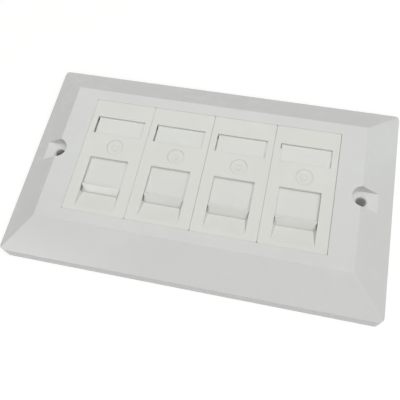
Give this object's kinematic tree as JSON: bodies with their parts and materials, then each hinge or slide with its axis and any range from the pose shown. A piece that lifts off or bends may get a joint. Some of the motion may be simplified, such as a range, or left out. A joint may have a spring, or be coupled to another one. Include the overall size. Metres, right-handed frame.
{
  "type": "keystone faceplate",
  "caption": "Double-gang wall plate with bevelled border and flush modules, each with a sliding shutter over a keystone port, a label window and an icon disc.",
  "frame": {"origin": "centre of the plate's back plane, which rests on the wall", "axes": "+X along the long side to the right, +Y towards the label windows, +Z out of the wall"},
  "size_m": [0.146, 0.086, 0.016],
  "materials": {
    "frame_plastic": "glossy moulded white",
    "module_plastic": "semi-gloss moulded warm white",
    "clear_plastic": "clear, glossy",
    "card": "matt white card",
    "spring_steel": "drawn wire"
  },
  "bodies": {
    "faceplate": {"faceplate_frame": "frame_plastic", "module_body_1": "module_plastic", "shutter_spring_1": "spring_steel", "label_cover_1": "clear_plastic", "label_card_1": "card", "icon_disc_1": "module_plastic", "module_body_2": "module_plastic", "shutter_spring_2": "spring_steel", "label_cover_2": "clear_plastic", "label_card_2": "card", "icon_disc_2": "module_plastic", "module_body_3": "module_plastic", "shutter_spring_3": "spring_steel", "label_cover_3": "clear_plastic", "label_card_3": "card", "icon_disc_3": "module_plastic", "module_body_4": "module_plastic", "shutter_spring_4": "spring_steel", "label_cover_4": "clear_plastic", "label_card_4": "card", "icon_disc_4": "module_plastic"},
    "shutter_1": {"shutter_1": "module_plastic"},
    "shutter_2": {"shutter_2": "module_plastic"},
    "shutter_3": {"shutter_3": "module_plastic"},
    "shutter_4": {"shutter_4": "module_plastic"}
  },
  "joints": [
    {"name": "shutter_1_slide", "type": "slide", "parent": "faceplate", "child": "shutter_1", "axis": [0, 1, 0], "range_m": [0, 0.0095], "stiffness_N_per_m": 60, "springref_m": -0.004, "deforming": ["shutter_spring_1"]},
    {"name": "shutter_2_slide", "type": "slide", "parent": "faceplate", "child": "shutter_2", "axis": [0, 1, 0], "range_m": [0, 0.0095], "stiffness_N_per_m": 60, "springref_m": -0.004, "deforming": ["shutter_spring_2"]},
    {"name": "shutter_3_slide", "type": "slide", "parent": "faceplate", "child": "shutter_3", "axis": [0, 1, 0], "range_m": [0, 0.0095], "stiffness_N_per_m": 60, "springref_m": -0.004, "deforming": ["shutter_spring_3"]},
    {"name": "shutter_4_slide", "type": "slide", "parent": "faceplate", "child": "shutter_4", "axis": [0, 1, 0], "range_m": [0, 0.0095], "stiffness_N_per_m": 60, "springref_m": -0.004, "deforming": ["shutter_spring_4"]}
  ]
}
